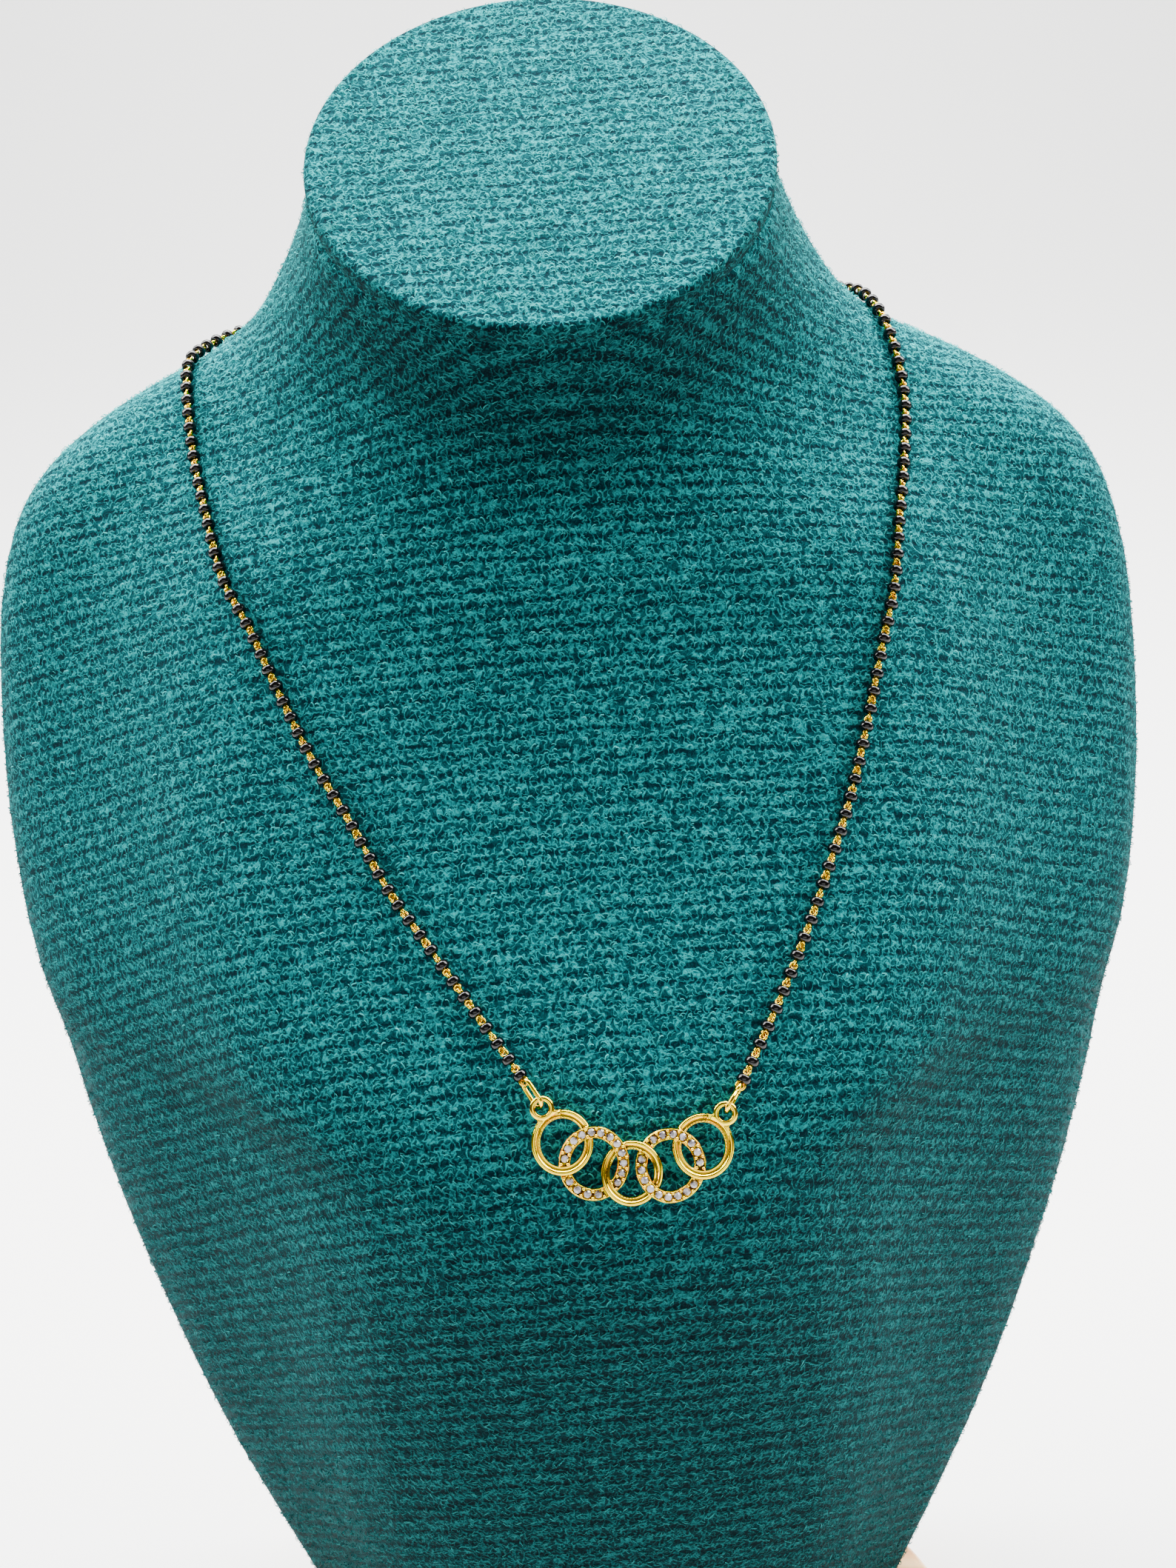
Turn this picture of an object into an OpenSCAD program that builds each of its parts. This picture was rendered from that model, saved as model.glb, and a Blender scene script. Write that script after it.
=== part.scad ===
// Short mangalsutra on a neck bust: two strands of black seed beads on wire links, a five ring
// pendant with two stone set rings, and the cloth covered bust with a wooden base that holds it.
// Millimetres, +Z up, the front of the bust faces -Y, origin on the base's underside below the foot.

/* [Neck bust] */
// Width of the bust across the shoulders
bust_w = 196; // [170:1:220]
// Height of the covered form, from the base to the middle of the neck's top
bust_h = 272; // [250:1:300]
// Depth of the form, from the crest of the chest to the flat back
bust_d = 109; // [95:1:120]
// Lean of the flat back, in degrees from upright
back_lean = 3.6; // [0:0.1:8]
// Distance from the origin to the back of the form's foot
foot_back = 37; // [25:0.5:44]

/* [Neck cap] */
// Width of the round cap on the neck
cap_d = 72.6; // [66:0.1:84]
// Thickness of the cap
cap_t = 4; // [2.5:0.1:8]
// Radius on the cap's edges
cap_round = 1.2; // [0.4:0.1:1.2]

/* [Back board] */
// Thickness of the board on the flat back
board_t = 1.5; // [1:0.1:4]
// Width of the strip of cloth that the board leaves bare at its edge
board_margin = 5; // [2:0.5:12]

/* [Wooden base] */
// Width of the base
base_w = 131; // [126:1:170]
// Depth of the base
base_d = 102; // [98:1:124]
// Distance of the base's middle in front of the origin
base_front = 13; // [10:0.5:20]
// Thickness of the base
base_t = 14; // [8:0.5:30]
// Radius on the base's upper edge
base_round = 2.5; // [0.5:0.1:5]

/* [Bead strands] */
// Diameter of the seed beads
bead_d = 2.25; // [1.8:0.05:2.6]
// Inner radius of the wire loop at each end of a strand
loop_r = 0.65; // [0.55:0.01:0.9]
// Thickness of that loop's wire
loop_wire = 0.5; // [0.3:0.01:0.6]

/* [Jump rings] */
// Thickness of a jump ring's wire
jump_wire = 0.65; // [0.4:0.01:0.8]
// Inner width of a jump ring
jump_w = 1.9; // [1.4:0.05:2.4]
// Turn of the left jump ring out of the pendant's normal, in degrees
jump_turn_left = 25; // [0:1:45]
// Turn of the right jump ring out of the pendant's normal, in degrees
jump_turn_right = -15; // [-45:1:0]

/* [Pendant] */
// Width of the pendant across its two plain end rings
pendant_w = 29.4; // [26:0.1:34]
// Width of a plain ring
plain_w = 9; // [8:0.05:10]
// Width of a stone set ring
pave_w = 10.2; // [9:0.05:11.5]
// Height of each ring over its width
ring_oval = 1.05; // [1:0.01:1.12]
// Width of a plain ring's band
plain_band = 1.3; // [0.8:0.01:1.4]
// Width of a stone set ring's band
pave_band = 1.68; // [1.6:0.01:2.2]
// Thickness of the bands
band_t = 1.05; // [0.8:0.01:1.4]
// Rise and fall of each ring where it crosses its neighbour
ring_lift = 0.4; // [0.36:0.01:0.5]
// Outer diameter of the round lug on each end ring
lug_d = 3.5; // [3.2:0.05:4.2]
// Thickness of the lug's wire
lug_wire = 0.8; // [0.6:0.01:1]
// Lean of the pendant back onto the chest, in degrees from upright
pendant_lean = 26; // [20:0.5:32]
// Turn of the pendant in its own plane, in degrees
pendant_turn = -6; // [-10:0.5:10]

/* [Stones] */
// Diameter of a stone
stone_d = 1.15; // [0.9:0.01:1.3]
// Number of stones that a whole ring would take
stone_count = 18; // [14:1:19]

/* [Clasp] */
// Diameter of the clasp's barrel
clasp_d = 3.4; // [2.6:0.1:5]
// Length of the clasp's barrel
clasp_l = 7; // [5:0.1:9]

/* [Hidden] */

teal = "#157a78";
wood = "#d9a867";
board = "#c9b79a";
black = "#141416";
gold = "#d9a53a";
clear = "#f3eef0";

// Small gap that separate pieces keep
gap = 0.3;
// Gap round a stone
stone_gap = 0.1;

// Sections of the form from the neck's top to its foot. Each lies in the plane through its front
// and back point. Heights are shares of bust_h, reach and inset are shares of bust_d measured
// forward from the leaning back, widths are shares of half bust_w, depths are shares of the section.
// Columns: front height, front reach, back height, back inset,
//          front width, ridge width, ridge depth, side width, side depth, back width
SECTIONS = [
    [0.9125, 0.624, 1.0675, 0.135, 0.150, 0.360, 0.29, 0.360, 0.71, 0.150],
    [0.890, 0.585, 1.030, 0.075, 0.160, 0.380, 0.29, 0.400, 0.71, 0.160],
    [0.855, 0.550, 0.985, 0.035, 0.190, 0.420, 0.32, 0.465, 0.70, 0.200],
    [0.825, 0.545, 0.940, 0.010, 0.265, 0.480, 0.36, 0.555, 0.68, 0.265],
    [0.800, 0.565, 0.910, 0.000, 0.350, 0.550, 0.40, 0.715, 0.62, 0.360],
    [0.775, 0.600, 0.885, 0.000, 0.410, 0.630, 0.40, 0.865, 0.60, 0.530],
    [0.740, 0.640, 0.840, 0.000, 0.450, 0.725, 0.40, 0.980, 0.60, 0.755],
    [0.695, 0.705, 0.770, 0.000, 0.470, 0.765, 0.39, 1.030, 0.60, 0.860],
    [0.635, 0.797, 0.690, 0.000, 0.470, 0.765, 0.37, 1.040, 0.60, 0.910],
    [0.575, 0.893, 0.605, 0.000, 0.430, 0.735, 0.34, 1.040, 0.60, 0.910],
    [0.520, 0.970, 0.525, 0.000, 0.370, 0.675, 0.32, 1.020, 0.60, 0.890],
    [0.475, 1.000, 0.475, 0.000, 0.285, 0.590, 0.30, 0.990, 0.60, 0.865],
    [0.410, 0.982, 0.410, 0.000, 0.285, 0.590, 0.32, 0.960, 0.60, 0.835],
    [0.310, 0.911, 0.310, 0.000, 0.305, 0.590, 0.34, 0.910, 0.60, 0.740],
    [0.190, 0.820, 0.190, 0.000, 0.305, 0.570, 0.36, 0.815, 0.59, 0.610],
    [0.090, 0.720, 0.090, 0.000, 0.285, 0.530, 0.36, 0.715, 0.57, 0.470],
    [0.000, 0.640, 0.000, 0.000, 0.265, 0.480, 0.36, 0.610, 0.55, 0.330]
];
// Share of each edge that a corner's rounding takes, towards the corner before and the one after
// Rows: front, ridge, side, back
ROUNDING = [[0.50, 0.50], [0.35, 0.35], [0.50, 0.50], [0.45, 0.12]];
// First section that reaches the flat back at full width
BOARD_FROM = 6;
// Rings between two sections, and points on each rounded corner
section_steps = 3;
corner_steps = 5;

// Route of each strand's middle line, from the pendant up the chest and round the neck
ROUTE_LEFT = [
    [-9.5, -56.5, 164.5], [-16, -50.5, 172.5], [-22.5, -44.5, 180.5], [-28, -39, 187],
    [-33.5, -32.5, 195.5], [-39, -26.5, 203.5], [-44, -19.5, 212], [-48.5, -13, 220.5],
    [-53, -6, 227], [-56, 3, 235], [-58.5, 12, 242], [-60, 20.5, 249.5],
    [-60.5, 29, 254.5], [-58, 37, 256], [-53, 44, 257], [-46, 49.5, 258.5],
    [-36, 54, 258.5], [-25, 54.5, 258], [-15.5, 54.5, 258], [-6.2, 54.5, 258]
];
ROUTE_RIGHT = [
    [23, -56.5, 162], [28.5, -50, 170], [33.5, -44, 178.5], [38, -37.5, 187],
    [42, -31, 195], [45.5, -24, 204], [48.5, -17.5, 213], [51.5, -11, 221.5],
    [53.5, -3, 230.5], [55.5, 5.5, 237.5], [57, 14.5, 245], [56.5, 21.5, 252],
    [55, 27.5, 257], [53, 34.5, 259.5], [50, 41.5, 259.5], [45, 47.5, 260],
    [37.5, 53.5, 259], [27, 54.5, 258.5], [16.5, 54.5, 258], [6.2, 54.5, 258]
];
route_steps = 2;
strand_sides = 8;

// Rings of the pendant from left to right: middle as shares of pendant_w, stone set or plain,
// and how the ring tilts and twists to pass over and under its neighbours
// Columns: x, y, stone set, tilt, twist
RINGS = [
    [-0.347, 0.140, 0, -1, 0],
    [-0.189, 0.043, 1, 1, 0],
    [0, 0, 0, 0, 1],
    [0.189, 0.043, 1, 0, 1],
    [0.347, 0.140, 0, -1, 0]
];
// Profiles of the two bands. Columns: distance from the band's middle as a share of its width,
// height above its middle as a share of its thickness. A plain band has two ridges and a groove,
// a stone set band is a channel between two rims.
PLAIN_BAND = [
    [-0.50, -0.38], [-0.38, -0.50], [0.38, -0.50], [0.50, -0.38], [0.50, 0.20], [0.40, 0.45],
    [0.20, 0.52], [0.02, 0.40], [-0.10, 0.12], [-0.24, 0.12], [-0.30, 0.36], [-0.46, 0.36]
];
PAVE_BAND = [[-0.50, -0.50], [0.50, -0.50], [0.50, 0.34], [0.46, 0.42], [-0.46, 0.42], [-0.50, 0.34]];
// Share of the thickness left under the channel
channel_floor = 0.34;
ring_steps = 48;

// Middle of the lug as shares of pendant_w from the pendant's middle ring
LUG = [0.453, 0.303];
// Place of the pendant's middle ring
PENDANT_AT = [6, -63.5, 151.5];
// Turn of the pendant about the upright, following the chest
pendant_yaw = 3;

// Place of the clasp's middle at the back of the neck
CLASP_AT = [0, 54.8, 258];
// The points above were laid on a bust of this width, depth, height, foot, back's lean and base
LAID_ON = [196, 109, 272, 37, 3.6, 14];

// Small helpers
function mix(a, b, t) = a + (b - a) * t;
function unit(v) = v / norm(v);
function spline(a, b, c, d, t) =
    0.5 * (2 * b + (c - a) * t + (2 * a - 5 * b + 4 * c - d) * t * t + (3 * b - a - 3 * c + d) * t * t * t);
function along(list, steps) = [
    for (i = [0 : len(list) - 2]) for (k = [0 : steps - 1])
        spline(list[max(i - 1, 0)], list[i], list[i + 1], list[min(i + 2, len(list) - 1)], k / steps),
    list[len(list) - 1]
];

// Closed or capped tube through rings of points, each ring with as many points
module skin(rings, closed = false) {
    count = len(rings);
    sides = len(rings[0]);
    last = closed ? count - 1 : count - 2;
    faces = [
        for (i = [0 : last]) for (j = [0 : sides - 1])
            let (i2 = (i + 1) % count, j2 = (j + 1) % sides)
            each [
                [i * sides + j, i * sides + j2, i2 * sides + j2],
                [i * sides + j, i2 * sides + j2, i2 * sides + j]
            ]
    ];
    caps = closed ? [] : [
        [for (j = [sides - 1 : -1 : 0]) j],
        [for (j = [0 : sides - 1]) (count - 1) * sides + j]
    ];
    polyhedron(points = [for (r = rings) each r], faces = concat(faces, caps), convexity = 8);
}

// Covered form of the bust
function back_at(z) = foot_back + tan(back_lean) * (z - base_t);
function height_at(share) = base_t + gap + share * bust_h;
// Moves a point of the necklace with the bust: it keeps its share of the width, depth and height
function on_bust(p) =
    let (
        z = height_at((p[2] - LAID_ON[5] - gap) / LAID_ON[2]),
        back = LAID_ON[3] + tan(LAID_ON[4]) * (p[2] - LAID_ON[5])
    )
    [p[0] * bust_w / LAID_ON[0], back_at(z) - (back - p[1]) * bust_d / LAID_ON[1], z];
pendant_at = on_bust(PENDANT_AT);
clasp_at = on_bust(CLASP_AT);
// A route on the bust, whose ends keep their distance across from the pendant and the clasp
function laid(route) =
    let (
        n = len(route) - 1,
        front = [(pendant_at - PENDANT_AT + route[0] - on_bust(route[0]))[0], 0, 0],
        back = [(clasp_at - CLASP_AT + route[n] - on_bust(route[n]))[0], 0, 0]
    )
    [for (i = [0 : n]) on_bust(route[i]) + front * max(0, 1 - i / 6) + back * max(0, 1 - (n - i) / 4)];
// Corners of a section as [half width, depth share], from the front round the right to the back
function corners(s) = [[s[4], 0], [s[5], s[6]], [s[7], s[8]], [s[9], 1]];
function mirrored(list) = [for (i = [len(list) - 1 : -1 : 0]) [-list[i][0], list[i][1]]];
function outline(s) =
    let (
        half = corners(s),
        all = concat(half, mirrored(half)),
        back_first = [for (i = [3 : -1 : 0]) [ROUNDING[i][1], ROUNDING[i][0]]],
        shares = concat(ROUNDING, back_first)
    )
    [for (i = [0 : 7]) let (before = all[(i + 7) % 8], here = all[i], after = all[(i + 1) % 8])
        let (from = mix(here, before, shares[i][0]), to = mix(here, after, shares[i][1]))
        for (k = [0 : corner_steps - 1]) let (t = k / (corner_steps - 1))
            mix(mix(from, here, t), mix(here, to, t), t)];
function section_points(s) =
    let (
        front_z = height_at(s[0]),
        back_z = height_at(s[2]),
        front = [0, back_at(front_z) - s[1] * bust_d, front_z],
        back = [0, back_at(back_z) - s[3] * bust_d, back_z]
    )
    [for (p = outline(s)) mix(front, back, p[1]) + [p[0] * bust_w / 2, 0, 0]];

module neck_bust() {
    color(teal) skin([for (s = along(SECTIONS, section_steps)) section_points(s)]);
}

// Front and back of the neck's top, which carry the cap
top_front_z = height_at(SECTIONS[0][0]);
top_back_z = height_at(SECTIONS[0][2]);
top_front_y = back_at(top_front_z) - SECTIONS[0][1] * bust_d;
top_back_y = back_at(top_back_z) - SECTIONS[0][3] * bust_d;
cap_tilt = atan2(top_back_z - top_front_z, top_back_y - top_front_y);

module neck_cap() {
    color(teal)
        translate([0, (top_front_y + top_back_y) / 2, (top_front_z + top_back_z) / 2])
        rotate([cap_tilt, 0, 0])
        translate([0, 0, gap])
        rotate_extrude($fn = 96)
        rounded_half(cap_d / 2, cap_t, cap_round, true);
}

// Half outline of a round plate, with its upper edge rounded, and its lower edge too if asked
module rounded_half(r, t, edge, both) {
    square([r - edge, t]);
    translate([0, both ? edge : 0]) square([r, t - (both ? 2 : 1) * edge]);
    translate([r - edge, t - edge]) circle(edge, $fn = 32);
    if (both) translate([r - edge, edge]) circle(edge, $fn = 32);
}

// Board on the flat back, inside the cloth's edge
function board_half() = [for (s = along([for (i = [BOARD_FROM : len(SECTIONS) - 1]) SECTIONS[i]], 2))
    [s[9] * bust_w / 2, height_at(s[2]) - height_at(0)]];
module back_board() {
    half = board_half();
    shape = concat(half, [for (i = [len(half) - 1 : -1 : 0]) [-half[i][0], half[i][1]]]);
    color(board)
        translate([0, back_at(height_at(0)) + gap + board_t, height_at(0)])
        rotate([90 - back_lean, 0, 0])
        linear_extrude(board_t)
        intersection() {
            polygon([for (p = shape) [p[0] * (1 - 2 * board_margin / bust_w), p[1]]]);
            translate([-bust_w / 2, board_margin]) square([bust_w, height_at(SECTIONS[BOARD_FROM][2])
                - height_at(0) - 2 * board_margin]);
        }
}

// Wooden base with round ends
module wooden_base() {
    shift = (base_w - base_d) / 2;
    color(wood) translate([0, -base_front, 0]) union() {
        for (side = [-1, 1])
            translate([side * shift, 0, 0])
            rotate_extrude($fn = 128)
            rounded_half(base_d / 2, base_t, base_round, false);
        translate([-shift, 0, 0])
            rotate([90, 0, 90])
            linear_extrude(2 * shift)
            for (side = [0, 1]) mirror([side, 0])
            rounded_half(base_d / 2, base_t, base_round, false);
    }
}

// Frames of direction: the columns are the side, the up and the outward direction
function turn_x(a) = [[1, 0, 0], [0, cos(a), -sin(a)], [0, sin(a), cos(a)]];
function turn_z(a) = [[cos(a), -sin(a), 0], [sin(a), cos(a), 0], [0, 0, 1]];
pendant_frame_of = turn_z(pendant_yaw) * turn_x(90 - pendant_lean) * turn_z(pendant_turn);
function on_pendant(p) = pendant_at + pendant_frame_of * p;
pendant_out = pendant_frame_of * [0, 0, 1];
function columns(x, y, z, at) = [
    [x[0], y[0], z[0], at[0]],
    [x[1], y[1], z[1], at[1]],
    [x[2], y[2], z[2], at[2]],
    [0, 0, 0, 1]
];
function turned(v, axis, a) = v * cos(a) + cross(axis, v) * sin(a) + axis * (axis * v) * (1 - cos(a));

// Links between the pendant and the strands
lug_mid_r = (lug_d - lug_wire) / 2;
loop_mid_r = loop_r + loop_wire / 2;
// Room left between a jump ring and the wire it hangs on
jump_play = 0.3;
function lug_at(side) = on_pendant([side * LUG[0] * pendant_w, LUG[1] * pendant_w, 0]);
// The loop at a strand's end bites a little into the last bead
function loop_at(end, towards) = end + unit(towards - end) * (loop_mid_r - loop_wire / 4);
// Direction across a jump ring, through the lug's hole and the loop's hole
function jump_across(side, turn) =
    let (pull = unit(loop_at(route_of(side)[0], lug_at(side)) - lug_at(side)))
    turned(unit(cross(cross(pull, pendant_out), pull)), pull, turn);
function route_of(side) = laid(side < 0 ? ROUTE_LEFT : ROUTE_RIGHT);
function turn_of(side) = side < 0 ? jump_turn_left : jump_turn_right;

// Round wire ring in the XY plane
module wire_ring(mid_r, wire) {
    rotate_extrude($fn = 16) translate([mid_r, 0]) circle(wire / 2, $fn = 6);
}

// Strand as a plain tube of the beads' diameter, with the wire loop at each end
function route_ring(points, i) =
    let (
        n = len(points),
        dir = unit(points[min(i + 1, n - 1)] - points[max(i - 1, 0)]),
        side = unit(cross(dir, [0, -0.6, 0.8])),
        up = cross(side, dir)
    )
    [for (j = [0 : strand_sides - 1]) let (a = 360 * j / strand_sides)
        points[i] + (side * cos(a) + up * sin(a)) * bead_d / 2];
module strand(side) {
    points = along(route_of(side), route_steps);
    front_loop = loop_at(points[0], lug_at(side));
    across = jump_across(side, turn_of(side));
    pull = unit(front_loop - points[0]);
    clasp_loop = loop_at(points[len(points) - 1], clasp_loop_at(side));
    color(black) union() {
        skin([for (i = [0 : len(points) - 1]) route_ring(points, i)]);
        multmatrix(columns(pull, cross(across, pull), across, front_loop)) wire_ring(loop_mid_r, loop_wire);
        translate(clasp_loop) rotate([90, 0, 0]) wire_ring(loop_mid_r, loop_wire);
    }
}
module strand_left() strand(-1);
module strand_right() strand(1);

// Long jump ring through the lug and the strand's loop
module jump_ring(side) {
    lug = lug_at(side);
    loop = loop_at(route_of(side)[0], lug);
    pull = unit(loop - lug);
    across = jump_across(side, turn_of(side));
    mid_r = (jump_w + jump_wire) / 2;
    lug_end = lug + pull * (lug_mid_r - (lug_wire + jump_wire) / 2 - jump_play);
    loop_end = loop - pull * (loop_mid_r - (loop_wire + jump_wire) / 2 - jump_play);
    straight = norm(loop_end - lug_end) - 2 * mid_r;
    color(gold)
        multmatrix(columns(pull, across, cross(pull, across), (lug_end + loop_end) / 2))
        union() {
            for (end = [0, 1]) rotate([0, 0, 180 * end])
                translate([straight / 2, 0, 0])
                rotate([0, 0, -90])
                rotate_extrude(angle = 180, $fn = 48)
                translate([mid_r, 0]) circle(jump_wire / 2, $fn = 24);
            for (end = [-1, 1])
                translate([-straight / 2, end * mid_r, 0])
                rotate([0, 90, 0])
                cylinder(h = straight, d = jump_wire, $fn = 24);
        }
}
module jump_ring_left() jump_ring(-1);
module jump_ring_right() jump_ring(1);

// Pendant: five overlapping rings that rise and fall at their crossings, cast in one with two lugs
function ring_w(ring) = ring[2] == 1 ? pave_w : plain_w;
function band_w(ring) = ring[2] == 1 ? pave_band : plain_band;
function ring_mid_x(ring) = (ring_w(ring) - band_w(ring)) / 2;
function ring_mid_y(ring) = (ring_w(ring) * ring_oval - band_w(ring)) / 2;
function ring_height(ring, a) = ring_lift * (ring[3] * sin(a) + ring[4] * sin(2 * a));
function ring_centre(ring) = [ring[0] * pendant_w, ring[1] * pendant_w];
function band_ring(ring, profile, a) = [for (p = profile)
    let (out = p[0] * band_w(ring), up = p[1] * band_t)
    [
        ring_centre(ring)[0] + (ring_mid_x(ring) + out) * cos(a),
        ring_centre(ring)[1] + (ring_mid_y(ring) + out) * sin(a),
        ring_height(ring, a) + up
    ]];
channel_w = stone_d + 2 * stone_gap;
function channel_of() =
    let (half = channel_w / 2 / pave_band, low = channel_floor - 0.5)
    [[-half, low], [half, low], [half, 0.8], [-half, 0.8]];
module swept_ring(ring, profile) {
    skin([for (i = [0 : ring_steps - 1]) band_ring(ring, profile, 360 * i / ring_steps)], closed = true);
}
module one_ring(ring) {
    if (ring[2] == 1)
        difference() {
            swept_ring(ring, PAVE_BAND);
            swept_ring(ring, channel_of());
        }
    else
        swept_ring(ring, PLAIN_BAND);
}
module pendant_frame() {
    color(gold)
        translate(pendant_at)
        rotate([0, 0, pendant_yaw])
        rotate([90 - pendant_lean, 0, 0])
        rotate([0, 0, pendant_turn])
        difference() {
            union() {
                for (ring = RINGS) one_ring(ring);
                for (side = [-1, 1]) {
                    translate([side * LUG[0] * pendant_w, LUG[1] * pendant_w, 0])
                        wire_ring(lug_mid_r, lug_wire);
                    lug_shoulders(side);
                }
            }
            for (ring = RINGS) if (ring[2] == 1)
                for (a = stone_angles(ring)) translate(stone_at(ring, a)) stone_seat();
        }
}
// Flared shoulders that run from a lug into its plain ring
module lug_shoulders(side) {
    ring = RINGS[side < 0 ? 0 : 4];
    at = [side * LUG[0] * pendant_w, LUG[1] * pendant_w];
    flare = 0.35;
    linear_extrude(0.7 * lug_wire, center = true)
        intersection() {
            offset(-flare, $fn = 24) offset(flare, $fn = 24) {
                translate(at) circle(lug_d / 2, $fn = 32);
                translate(ring_centre(ring)) scale([1, ring_oval]) circle(plain_w / 2, $fn = 64);
            }
            difference() {
                translate(at) circle(lug_d * 0.8, $fn = 24);
                translate(at) circle(lug_mid_r, $fn = 24);
                translate(ring_centre(ring)) scale([1, ring_oval]) circle(plain_w / 2 - plain_band / 2, $fn = 64);
            }
        }
}

// Stones in the channels of the two stone set rings. A plain ring passes over each of them twice,
// and the stones are spread evenly over the two arcs between those crossings.
stone_steps = 8;
pavilion = 0.40;
// Share that a row of stones is drawn together, clear of the rings that cross it
closing = 0.98;
crown = 0.16;
table = 0.58;
function ring_mid_r(ring) = (ring_mid_x(ring) + ring_mid_y(ring)) / 2;
// Angle on a ring at which it meets its neighbour, on one side or the other of their middles
function crossing(ring, other, way) =
    let (
        off = ring_centre(other) - ring_centre(ring),
        apart = norm(off),
        r = ring_mid_r(ring),
        o = ring_mid_r(other)
    )
    atan2(off[1], off[0]) + way * acos((r * r + apart * apart - o * o) / (2 * r * apart));
function crossed_over(ring) = [
    for (other = RINGS) for (way = [-1, 1])
        let (apart = abs(other[0] - ring[0]))
        if (apart > 0 && apart < 0.25)
            let (here = crossing(ring, other, way), there = crossing(other, ring, -way))
            if (ring_height(other, there) > ring_height(ring, here)) here
];
function stone_angles(ring) =
    let (over = crossed_over(ring), low = min(over), high = max(over))
    [for (arc = [[low, high], [high, low + 360]])
        let (steps = round((arc[1] - arc[0]) * stone_count / 360))
        for (i = [1 : 1 : steps - 1]) mix(arc[0], arc[1], 0.5 + (i / steps - 0.5) * closing)];
// Middle of a stone's girdle
function stone_at(ring, a) = [
    ring_centre(ring)[0] + ring_mid_x(ring) * cos(a),
    ring_centre(ring)[1] + ring_mid_y(ring) * sin(a),
    ring_height(ring, a) + (channel_floor - 0.5) * band_t + stone_gap + pavilion * stone_d
];
// Seat drilled for a stone, which clears it where a plain ring runs close under the channel
module stone_seat() {
    low = -pavilion * stone_d - 0.8 * stone_gap;
    translate([0, 0, low]) cylinder(h = crown * stone_d + 0.05 - low, d = stone_d + 1.6 * stone_gap, $fn = 16);
}
module stone() {
    rim = stone_d / 2;
    points = concat(
        [[0, 0, -pavilion * stone_d]],
        [for (j = [0 : stone_steps - 1]) [rim * cos(45 * j), rim * sin(45 * j), 0]],
        [for (j = [0 : stone_steps - 1])
            [rim * table * cos(45 * j), rim * table * sin(45 * j), crown * stone_d]]
    );
    faces = concat(
        [for (j = [0 : 7]) [0, 1 + (j + 1) % 8, 1 + j]],
        [for (j = [0 : 7]) [1 + j, 1 + (j + 1) % 8, 9 + (j + 1) % 8, 9 + j]],
        [[for (j = [0 : 7]) 9 + j]]
    );
    polyhedron(points = points, faces = [for (f = faces) [for (i = [len(f) - 1 : -1 : 0]) f[i]]]);
}
module stones(ring) {
    color(clear)
        translate(pendant_at)
        rotate([0, 0, pendant_yaw])
        rotate([90 - pendant_lean, 0, 0])
        rotate([0, 0, pendant_turn])
        for (a = stone_angles(ring))
            translate(stone_at(ring, a)) stone();
}
module stones_left() stones(RINGS[1]);
module stones_right() stones(RINGS[3]);

// Plain barrel clasp at the back of the neck, with a ring at each end that holds a strand's loop
function clasp_loop_at(side) = clasp_at + [side * (clasp_l / 2 + loop_mid_r - loop_wire / 4), 0, 0];
module clasp() {
    edge = 0.6;
    color(gold) union() {
        translate(clasp_at - [clasp_l / 2, 0, 0])
            rotate([0, 90, 0])
            rotate_extrude($fn = 48)
            rounded_half(clasp_d / 2, clasp_l, edge, true);
        for (side = [-1, 1])
            translate(clasp_loop_at(side))
            rotate_extrude($fn = 32)
            translate([loop_mid_r, 0]) circle(loop_wire / 2, $fn = 16);
    }
}

neck_bust();
neck_cap();
back_board();
wooden_base();
strand_left();
strand_right();
jump_ring_left();
jump_ring_right();
pendant_frame();
stones_left();
stones_right();
clasp();
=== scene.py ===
import math

import bmesh
import bpy
from bpy.props import FloatProperty, FloatVectorProperty, IntProperty, PointerProperty
from mathutils import Matrix, Vector


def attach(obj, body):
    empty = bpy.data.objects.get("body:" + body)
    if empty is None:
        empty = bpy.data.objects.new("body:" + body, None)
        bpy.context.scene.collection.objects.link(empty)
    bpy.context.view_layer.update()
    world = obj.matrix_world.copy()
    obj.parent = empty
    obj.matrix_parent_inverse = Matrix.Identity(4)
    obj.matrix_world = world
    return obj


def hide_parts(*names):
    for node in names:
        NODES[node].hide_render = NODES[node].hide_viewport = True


bl_info = {
    "name": "Mangalsutra on a neck bust",
    "version": (1, 0, 0),
    "blender": (4, 5, 0),
    "location": "3D View > Sidebar > Mangalsutra",
    "description": "Dresses the mangalsutra and its neck bust with cloth, beads, gold and stones",
    "category": "Object",
}

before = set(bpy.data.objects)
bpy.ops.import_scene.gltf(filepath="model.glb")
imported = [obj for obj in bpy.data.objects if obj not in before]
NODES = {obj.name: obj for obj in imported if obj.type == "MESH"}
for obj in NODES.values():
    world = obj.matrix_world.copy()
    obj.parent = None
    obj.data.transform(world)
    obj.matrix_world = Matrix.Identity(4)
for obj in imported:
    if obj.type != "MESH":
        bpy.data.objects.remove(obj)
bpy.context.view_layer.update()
MM = 0.001

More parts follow.
